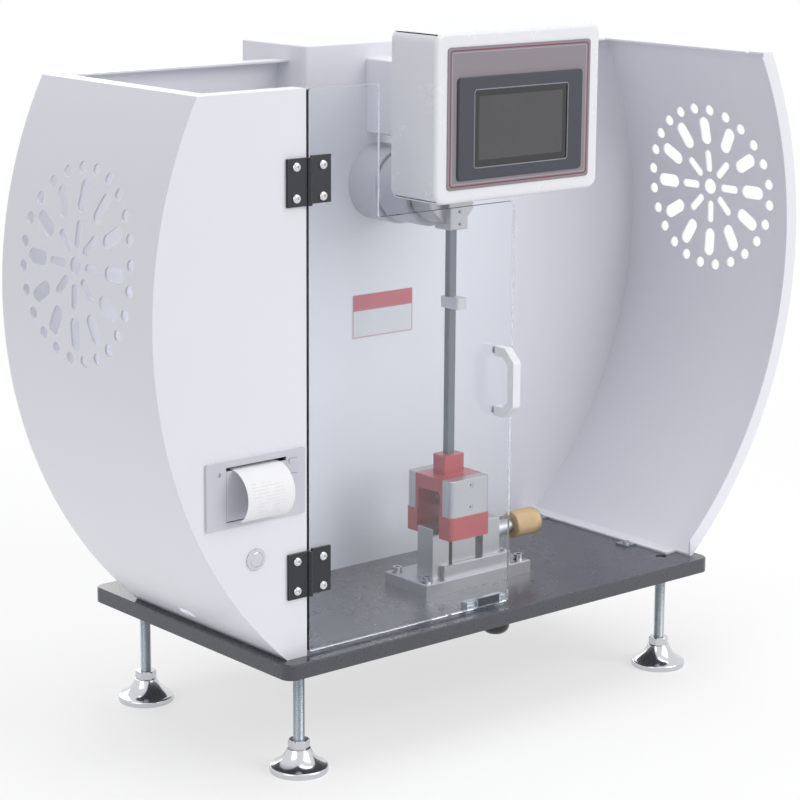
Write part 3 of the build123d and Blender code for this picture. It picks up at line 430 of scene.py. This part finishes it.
metals = {
    "machined_steel": metal("milled steel", (0.50, 0.50, 0.525), 0.36, (0.12, 1.0, 1.0), 700.0, 0.35),
    "rod_steel": metal("blackened flat bar", (0.17, 0.19, 0.225), 0.42, (1.0, 1.0, 0.05), 900.0, 0.25),
    "chrome": metal("bright plating", (0.66, 0.665, 0.70), 0.13, density=300.0, relief=0.04, spread=0.08,
                    drift=0.1),
    "zinc": metal("zinc plating", (0.50, 0.55, 0.60), 0.3, density=260.0, relief=0.1, drift=0.2),
    "aluminium": metal("turned aluminium", (0.62, 0.63, 0.65), 0.34, (1.0, 0.08, 1.0), 700.0, 0.25),
    "brass_knob": metal("satin tan knob", (0.62, 0.46, 0.27), 0.42, (0.2, 1.0, 1.0), 500.0, 0.3, drift=0.2,
                        metallic=0.35),
}
finishes.update(metals)
print("metals", list(metals))

# %% [markdown]
# Moulded plastic and rubber have an even, very fine spark-eroded grain, and no metal in them.
# The same builder makes the handle, the display's rim, the printer and the bumper.

# %% Moulded finishes
def moulded(name, colour, roughness, grain=900.0, relief=0.2, shade=0.06, **sockets):
    """Moulded plastic: a fine even grain for relief, and a slow change of shade."""
    made, tree, shader = start_material(name, colour, roughness, **sockets)
    skin = use_group(tree, orange_peel, Ripple=grain, Patch=30.0)
    marks = use_group(tree, handling, Size=30.0, Amount=0.5)
    hue = blend_colours(tree, skin.outputs["Shade"], tuple(c * (1 - shade) for c in colour), colour)
    rough = scaled(tree, marks.outputs["Mask"], 0.15, roughness)
    tree.links.new(hue, shader.inputs["Base Color"])
    tree.links.new(rough, shader.inputs["Roughness"])
    bumped(tree, shader, skin.outputs["Height"], relief, 0.0001)
    return made


finishes.update({
    "white_plastic": moulded("white moulding", (0.82, 0.825, 0.87), 0.25, 500.0, 0.08, 0.03),
    "bezel_plastic": moulded("dark blue-grey moulding", (0.042, 0.046, 0.066), 0.42, 1100.0, 0.3, 0.15),
    "printer_plastic": moulded("light grey moulding", (0.60, 0.605, 0.67), 0.4, 1000.0, 0.25, 0.05),
    "rubber": moulded("black rubber", (0.012, 0.012, 0.014), 0.3, 600.0, 0.2, 0.2),
    "black_plastic": moulded("black moulding", (0.02, 0.02, 0.024), 0.36, 900.0, 0.25, 0.2),
})
print("finishes so far", len(finishes))

# %% [markdown]
# A few finishes depend on where they are on a piece: the printed film round the display, the
# two-tone card, the display itself. A mask for a rectangle needs only comparisons. The point is
# inside if it is no further from the middle than half the width, across and up.

# %% Rectangle masks
CARD_FIELD = (-34.4, 48.4, 257.6, 286.5)
CARD_EDGE = (-35.2, 49.2, 256.8, 304.2)
CARD_BAND = (-34.4, 48.4, 288.5, 303.4)
DISPLAY_FIELD = (-57.0, 57.0, 477.0, 540.5)
PAPER_WHITE, PAPER_GREY = (0.86, 0.86, 0.88), (0.45, 0.44, 0.5)


def rectangle(tree, x0, x1, h0, h1, soft=0.15):
    """1 inside a rectangle of x and height in millimetres, 0 outside, with an edge of given softness."""
    parts = node(tree, "ShaderNodeSeparateXYZ", {0: object_place(tree)})
    inside = []
    for axis, low, high in (("X", x0, x1), ("Z", h0 + PLATE_TOP, h1 + PLATE_TOP)):
        off = math_node(tree, "SUBTRACT", parts.outputs[axis], (low + high) / 2 * MM)
        off = math_node(tree, "ABSOLUTE", off)
        half = (high - low) / 2 * MM
        inside.append(node(tree, "ShaderNodeMapRange", {
            "Value": off, "From Min": half - soft * MM, "From Max": half + soft * MM,
            "To Min": 1.0, "To Max": 0.0}).outputs[0])
    return math_node(tree, "MULTIPLY", *inside)


def film_finish():
    """Printed film: grey-lilac with a faint metallic speckle."""
    made, tree, shader = start_material("printed film", (0.25, 0.22, 0.25), 0.45)
    skin = use_group(tree, orange_peel, Ripple=1400.0, Patch=18.0)
    speckle = between(tree, skin.outputs["Height"], 0.35, 0.65)
    hue = blend_colours(tree, speckle, (0.225, 0.20, 0.225), (0.275, 0.245, 0.275))
    tree.links.new(hue, shader.inputs["Base Color"])
    bumped(tree, shader, skin.outputs["Height"], 0.15, 0.0001)
    return made


def card_finish():
    """Plain card in two tones: a red band along its top over a pale field, with a thin red edge."""
    made, tree, shader = start_material("two-tone card", (0.8, 0.78, 0.8), 0.4)
    field = rectangle(tree, *CARD_FIELD)
    edge = rectangle(tree, *CARD_EDGE)
    band = rectangle(tree, *CARD_BAND)
    skin = use_group(tree, orange_peel, Ripple=900.0, Patch=40.0)
    pale = blend_colours(tree, skin.outputs["Shade"], (0.66, 0.66, 0.71), (0.74, 0.74, 0.79))
    red = blend_colours(tree, skin.outputs["Shade"], (0.50, 0.10, 0.14), (0.60, 0.15, 0.18))
    rim = blend_colours(tree, edge, pale, (0.5, 0.16, 0.2))
    hue = blend_colours(tree, field, rim, pale)
    hue = blend_colours(tree, band, hue, red)
    tree.links.new(hue, shader.inputs["Base Color"])
    bumped(tree, shader, skin.outputs["Height"], 0.1, 0.0001)
    return made


def display_finish():
    """A dark display under glass: black rim, slightly lighter field, faint smears in its gloss."""
    made, tree, shader = start_material("dark display", (0.02, 0.02, 0.025), 0.12, Coat_Weight=0.5,
                                        Coat_Roughness=0.05)
    field = rectangle(tree, *DISPLAY_FIELD, 0.3)
    marks = use_group(tree, handling, Size=24.0, Amount=1.0)
    lit = blend_colours(tree, marks.outputs["Mask"], (0.048, 0.046, 0.05), (0.058, 0.056, 0.06))
    tree.links.new(blend_colours(tree, field, (0.006, 0.006, 0.009), lit), shader.inputs["Base Color"])
    rough = scaled(tree, marks.outputs["Mask"], 0.2, 0.1)
    tree.links.new(rough, shader.inputs["Roughness"])
    return made


def clear_finish():
    """Clear acrylic: it lets light and shadow rays through, and keeps a sharp gloss."""
    made, tree, shader = start_material("clear acrylic", (0.93, 0.965, 0.985), 0.03, IOR=1.49,
                                        Transmission_Weight=1.0)
    marks = use_group(tree, handling, Size=9.0, Amount=0.5)
    rough = scaled(tree, marks.outputs["Mask"], 0.05, 0.02)
    tree.links.new(rough, shader.inputs["Roughness"])
    path = tree.nodes.new("ShaderNodeLightPath")
    through = node(tree, "ShaderNodeBsdfTransparent", {"Color": (0.93, 0.96, 0.975, 1)})
    both = node(tree, "ShaderNodeMixShader", {
        0: path.outputs["Is Shadow Ray"], 1: shader.outputs[0], 2: through.outputs[0]})
    tree.links.new(both.outputs[0], tree.nodes["Material Output"].inputs["Surface"])
    return made


def paper_finish():
    """Receipt paper: matte white, with faint ruled rows that follow the strip's own UV map."""
    made, tree, shader = start_material("receipt paper", PAPER_WHITE, 0.75)
    uv = node(tree, "ShaderNodeSeparateXYZ", {0: tree.nodes.new("ShaderNodeTexCoord").outputs["UV"]})
    across, along = uv.outputs["X"], uv.outputs["Y"]
    rows = math_node(tree, "SINE", math_node(tree, "MULTIPLY", along, 150.0))
    rows = math_node(tree, "GREATER_THAN", rows, 0.62)
    kept = noise_node(tree, tree.nodes.new("ShaderNodeTexCoord").outputs["UV"], 9.0, 2.0)
    kept = math_node(tree, "GREATER_THAN", kept.outputs["Fac"], 0.47)
    margin = math_node(tree, "ABSOLUTE", math_node(tree, "SUBTRACT", across, 0.45))
    margin = math_node(tree, "LESS_THAN", margin, 0.33)
    lower = math_node(tree, "GREATER_THAN", along, 0.42)
    broken_rows = math_node(tree, "MULTIPLY", rows, kept)
    area = math_node(tree, "MULTIPLY", margin, lower)
    ink = math_node(tree, "MULTIPLY", math_node(tree, "MULTIPLY", broken_rows, area), 0.22)
    tree.links.new(blend_colours(tree, ink, PAPER_WHITE, PAPER_GREY), shader.inputs["Base Color"])
    fibre = use_group(tree, orange_peel, Ripple=1500.0)
    bumped(tree, shader, fibre.outputs["Height"], 0.15, 0.0001)
    return made


finishes.update({
    "label_film": film_finish(),
    "card": card_finish(),
    "screen": display_finish(),
    "clear_sheet": clear_finish(),
    "paper": paper_finish(),
})
print("finishes", len(finishes))

# %% [markdown]
# Each solid names a slot in the record, and each slot has a finish here. The node's own mesh is
# left as it is: only its material changes.

# %% Dress the solids
slot_of = {row["node"]: row["material_slot"] for row in frame["record"]["subparts"]}
for name, solid in nodes.items():
    solid.data.materials.clear()
    solid.data.materials.append(finishes[slot_of[name]])
print("dressed", len(slot_of), "solids in", len(set(slot_of.values())), "finishes")

# %% [markdown]
# New pieces are surfaces on a grid of two parameters. All the points are worked out at once as
# arrays, and the faces follow from the grid: each little square joins four neighbours. A grid
# may close on itself one way, as on a turned piece, and its ends may close on a pole.

# %% Grids to meshes
def grid_faces(rows, columns, wrap):
    """Squares of a rows x columns grid; wrap joins the last column to the first."""
    r = np.arange(rows - 1)[:, None]
    c = np.arange(columns if wrap else columns - 1)[None, :]
    follows = (c + 1) % columns
    first = r * columns + c
    beside = r * columns + follows
    return np.stack([first, beside, beside + columns, first + columns], axis=-1).reshape(-1, 4)


def piece(name, points, finish, body, wrap=False, uv=None, poles=False):
    """An object from a grid of points (rows, columns, 3), with its finish and body."""
    rows, columns = points.shape[:2]
    faces = grid_faces(rows, columns, wrap)
    flat = points.reshape(-1, 3)
    extra = []
    if poles:
        flat = np.vstack([flat, points[0].mean(axis=0), points[-1].mean(axis=0)])
        first, last = rows * columns, rows * columns + 1
        c = np.arange(columns)
        follows = (c + 1) % columns
        end = (rows - 1) * columns
        extra = [np.stack([np.full(columns, first), follows, c], axis=-1),
                 np.stack([np.full(columns, last), end + c, end + follows], axis=-1)]
    mesh = bpy.data.meshes.new(name)
    mesh.from_pydata(flat.tolist(), [], [*faces.tolist(), *(f for part in extra for f in part.tolist())])
    if uv is not None:
        layer = mesh.uv_layers.new(name="UVMap")
        corner = np.empty(len(mesh.loops), dtype=np.int32)
        mesh.loops.foreach_get("vertex_index", corner)
        layer.data.foreach_set("uv", uv.reshape(-1, 2)[corner].ravel())
    mesh.polygons.foreach_set("use_smooth", np.ones(len(mesh.polygons), dtype=bool))
    mesh.materials.append(finish)
    made = bpy.data.objects.new(name, mesh)
    bpy.context.scene.collection.objects.link(made)
    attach(made, body)
    return made


def outward(obj):
    """Turns faces so that the volume inside the surface is positive."""
    mesh = obj.data
    count = len(mesh.vertices)
    places = np.empty(count * 3)
    mesh.vertices.foreach_get("co", places)
    places = places.reshape(-1, 3)
    mesh.calc_loop_triangles()
    corners = np.empty(len(mesh.loop_triangles) * 3, dtype=np.int32)
    mesh.loop_triangles.foreach_get("vertices", corners)
    a, b, c = (places[corners.reshape(-1, 3)[:, k]] for k in range(3))
    if np.einsum("ij,ij->i", a, np.cross(b, c)).sum() < 0:
        mesh.flip_normals()
    return obj


def sharp_edges(obj, degrees):
    """Marks edges where two faces meet at more than this angle, so that they stay crisp."""
    obj.data.set_sharp_from_angle(angle=math.radians(degrees))
    return obj


print("a 3 x 4 grid has", len(grid_faces(3, 4, False)), "squares")

# %% [markdown]
# A levelling foot is a turned pad with a hexagon for the spanner, on a threaded stud. The solid
# stud is plain, so a finer set replaces it. The pad is a profile turned about the upright axis.
# The hexagon is the same idea with a radius that depends on the angle, and its top corners are
# cut by a cone, as on every real nut. The thread is one surface: its radius falls and rises once
# for each pitch, and the phase moves on with the angle.

# %% Levelling feet
PAD_RADIUS = 30.0
HEX_ACROSS = 11.3
STUD_RADIUS = 5.97
PITCH_M12 = 1.75
THREAD_LOW, THREAD_HIGH = 32.0, 126.5
FOOT_X, FOOT_FRONT, FOOT_BACK = 259, 37, 307
FEET = [
    (f"foot_{row}_{side}", f"foot_{row[0]}{side[0]}", x, depth)
    for side, x in (("left", -FOOT_X), ("right", FOOT_X))
    for row, depth in (("front", FOOT_FRONT), ("back", FOOT_BACK))
]


def arc_points(a, b, c, count):
    """Points on the circle through three points of a plane, from the first to the last."""
    a, b, c = (np.array(p, dtype=float) for p in (a, b, c))
    rows = np.array([b - a, c - a]) * 2
    centre = np.linalg.solve(rows, [b @ b - a @ a, c @ c - a @ a])
    start, middle, end = (math.atan2(*(p - centre)[::-1]) for p in (a, b, c))
    angles = np.unwrap([start, middle, end])
    turn = np.linspace(angles[0], angles[2], count)
    return centre + np.linalg.norm(a - centre) * np.stack([np.cos(turn), np.sin(turn)], axis=-1)


def turned(profile, x, depth, floor, columns=72, radius_at=None):
    """A profile (radius, height) turned about an upright axis; radius_at may reshape each ring."""
    angle = np.linspace(0, 2 * np.pi, columns, endpoint=False)
    radius = np.repeat(profile[:, :1], columns, axis=1)
    if radius_at is not None:
        radius = radius_at(radius, angle, profile[:, 1:])
    height = np.repeat(profile[:, 1:], columns, axis=1) + floor
    return at(x + radius * np.cos(angle), depth + radius * np.sin(angle), height)


def hexagon_radius(radius, angle, height):
    """The smaller of the turned radius and the flat side of a hexagon at that angle."""
    flat = HEX_ACROSS * math.cos(math.pi / 6) / np.cos((angle + math.pi / 6) % (math.pi / 3) - math.pi / 6)
    return np.minimum(radius, flat)


def thread_points(radius, pitch, low, high, x, depth, floor, columns=36, steps=6):
    """A thread: radius less a triangle wave of (height / pitch - angle / full turn)."""
    rows = int((high - low) / pitch * steps)
    height = np.linspace(low, high, rows)[:, None]
    angle = np.linspace(0, 2 * np.pi, columns, endpoint=False)[None, :]
    phase = (height / pitch - angle / (2 * np.pi)) % 1.0
    cut = 0.6 * pitch * np.clip(np.abs(2 * phase - 1) * 1.25 - 0.125, 0, 1)
    ends = np.clip(np.minimum(height - low, high - height) / pitch, 0, 1)
    r = radius - cut * ends - 0.5 * (1 - ends)
    return at(x + r * np.cos(angle), depth + r * np.sin(angle), height + floor + 0 * angle)


pad_profile = np.vstack([
    [(0.5, 0), (26.0, 0)],
    arc_points((28.8, 0.0), (29.65, 0.35), (PAD_RADIUS, 1.2), 6),
    arc_points((PAD_RADIUS, 4.8), (29.6, 6.1), (28.4, 6.9), 6),
    arc_points((27.6, 7.1), (18.5, 13.5), (11.9, 24.6), 24),
    [(11.2, 25.0)],
])
neck_profile = np.array([(10.2, 24.6), (11.4, 25.5), (11.4, 32.9), (10.0, 33.8), (9.0, 34.0), (5.6, 34.0)])
floor_height = -PLATE_TOP
for node_name, body, x, depth in FEET:
    pad = outward(piece(node_name + "_pad", turned(pad_profile, x, depth, floor_height), finishes["chrome"],
                        body, wrap=True, poles=True))
    sharp_edges(pad, 40)
    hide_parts(node_name)
    neck_points = turned(neck_profile, x, depth, floor_height, 96, hexagon_radius)
    neck = outward(piece(node_name + "_hexagon", neck_points, finishes["chrome"], body, wrap=True,
                         poles=True))
    sharp_edges(neck, 25)
    stud_points = thread_points(STUD_RADIUS, PITCH_M12, THREAD_LOW, THREAD_HIGH, x, depth, floor_height)
    outward(piece(node_name + "_thread", stud_points, finishes["zinc"], body, wrap=True, poles=True))
print("feet", len(FEET), "thread turns", round((THREAD_HIGH - THREAD_LOW) / PITCH_M12))

# %% [markdown]
# The clamp knob is turned, then fluted along its length so that fingers grip it. Its radius is
# the turned profile less a shallow wave round the circle, faded out at both ends.

# %% Clamp knob
KNOB_X0, KNOB_X1, KNOB_RADIUS = 92.0, 130.0, 15.0
SCREW_DEPTH, SCREW_HEIGHT = 110.0, 50.0
FLUTES, FLUTE_DEPTH = 72, 0.32


def knob_points(columns=432):
    """Turned about the X axis: profile radius less a wave with one crest for each flute."""
    nose = arc_points((126.0, KNOB_RADIUS), (128.83, 13.83), (KNOB_X1, 11.0), 10)
    body = np.stack([np.linspace(93.6, 125.6, 22), np.full(22, KNOB_RADIUS)], axis=-1)
    rear_face = [(KNOB_X0, 5.4), (KNOB_X0, 13.3)]
    profile = np.vstack([rear_face, body[:1] - [0.1, 0.1], body, nose, [(KNOB_X1, 6.0)],
                         arc_points((129.7, 5.4), (129.3, 3.0), (129.2, 0.4), 6)])
    x, radius = profile[:, :1], profile[:, 1:]
    angle = np.linspace(0, 2 * np.pi, columns, endpoint=False)[None, :]
    grip = np.clip(np.minimum(x - 94.5, 124.5 - x) / 1.5, 0, 1)
    r = radius - grip * (FLUTE_DEPTH / 2) * (1 - np.cos(FLUTES * angle))
    return at(x + 0 * angle, SCREW_DEPTH + r * np.cos(angle), SCREW_HEIGHT + r * np.sin(angle))


knob = outward(piece("knob_fluted", knob_points(), finishes["brass_knob"], "screw", wrap=True,
                     poles=True))
sharp_edges(knob, 45)
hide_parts("clamp_knob")
print("knob vertices", len(knob.data.vertices))

# %% [markdown]
# The printed strip leaves the printer's mouth, curls forward over the cover and hangs down,
# because it was wound on a roll. It is one curved sheet: an arc seen from the side, swept across
# the paper's width, with a slight wave along its edges and a toothed end where it was torn.

# %% Paper strip
STRIP_X0, STRIP_X1 = -355.0, -299.0
CURL_DEPTH, CURL_HEIGHT, CURL_RADIUS = 17.0, 178.0, 26.75
CURL_END = math.radians(154)
STRAIGHT_SHARE, STRAIGHT_LENGTH = 0.10, 8.0
TEETH = 28


def strip_points(rows=90, columns=113):
    """A short straight run, then an arc forwards and down, its last row cut into small teeth."""
    across = np.linspace(0, 1, columns)[None, :]
    along = np.linspace(0, 1, rows)[:, None]
    teeth = np.abs((across * TEETH) % 1.0 - 0.5) * 2
    end = CURL_END - math.radians(2.2) * teeth
    turn = np.clip((along - STRAIGHT_SHARE) / (1 - STRAIGHT_SHARE), 0, 1) * end
    wave = 0.12 * np.sin(across * 7.0 + 3 * along) * np.sin(np.pi * along) ** 2
    radius = CURL_RADIUS - 0.5 * (turn / CURL_END) ** 2 + wave
    back = np.clip(1 - along / STRAIGHT_SHARE, 0, 1) * STRAIGHT_LENGTH
    x = STRIP_X0 + (STRIP_X1 - STRIP_X0) * across
    points = at(x + 0 * along, CURL_DEPTH + back - radius * np.sin(turn), CURL_HEIGHT + radius * np.cos(turn))
    uv = np.stack(np.broadcast_arrays(across, along + 0 * across), axis=-1)
    return points, uv


strip_grid, strip_uv = strip_points()
strip = piece("paper_curl", strip_grid, finishes["paper"], "paper_cover", uv=strip_uv)
wall = strip.modifiers.new("paper thickness", "SOLIDIFY")
wall.thickness = 0.00012
wall.offset = 0.0
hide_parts("paper_strip")
print("strip rows x columns", strip_grid.shape[:2])

# %% [markdown]
# Thin printed or moulded lines frame the display: a dark red and a pale one on the film, and a
# light lip round the glass. Each is a small flat profile carried round a rounded rectangle.

# %% Lines round the display
def rounded_rectangle(x0, x1, h0, h1, corner, steps=8):
    """Points and outward directions of a rounded rectangle seen from the front, counter-clockwise."""
    points, outs = [], []
    centres = ((x1 - corner, h0 + corner, -90), (x1 - corner, h1 - corner, 0),
               (x0 + corner, h1 - corner, 90), (x0 + corner, h0 + corner, 180))
    for cx, ch, start in centres:
        angle = np.radians(np.linspace(start, start + 90, steps))
        way = np.stack([np.cos(angle), np.sin(angle)], axis=-1)
        points.append(np.array([cx, ch]) + corner * way)
        outs.append(way)
    return np.vstack(points), np.vstack(outs)


def carried_line(name, box, corner, width, rise, depth, finish):
    """A low profile of given width and rise, carried round a rounded rectangle on a front face."""
    path, out = rounded_rectangle(*box, corner)
    across = np.array([-0.5, -0.42, -0.2, 0.2, 0.42, 0.5]) * width
    lift = np.array([0.0, 0.7, 1.0, 1.0, 0.7, 0.0]) * rise
    place = path[None, :, :] + across[:, None, None] * out[None, :, :]
    points = at(place[..., 0], depth - lift[:, None] + 0 * place[..., 0], place[..., 1])
    return piece(name, points, finish, "frame", wrap=True)


red_ink = moulded("dark red ink", (0.20, 0.03, 0.06), 0.4, 900.0, 0.1)
pale_ink = moulded("pale ink", (0.42, 0.36, 0.41), 0.4, 900.0, 0.1)
lip_tone = moulded("light rim", (0.24, 0.25, 0.29), 0.35, 900.0, 0.1)
lines = [
    carried_line("film_line_red", (-93.6, 93.6, 452.4, 586.6), 3.0, 1.3, 0.05, 5.0, red_ink),
    carried_line("film_line_pale", (-91.4, 91.4, 454.6, 584.4), 2.4, 0.7, 0.05, 5.0, pale_ink),
    carried_line("glass_lip", (-63.9, 63.9, 469.6, 547.4), 3.0, 1.1, 0.25, 2.5, lip_tone),
]
print("lines", [line.name for line in lines])
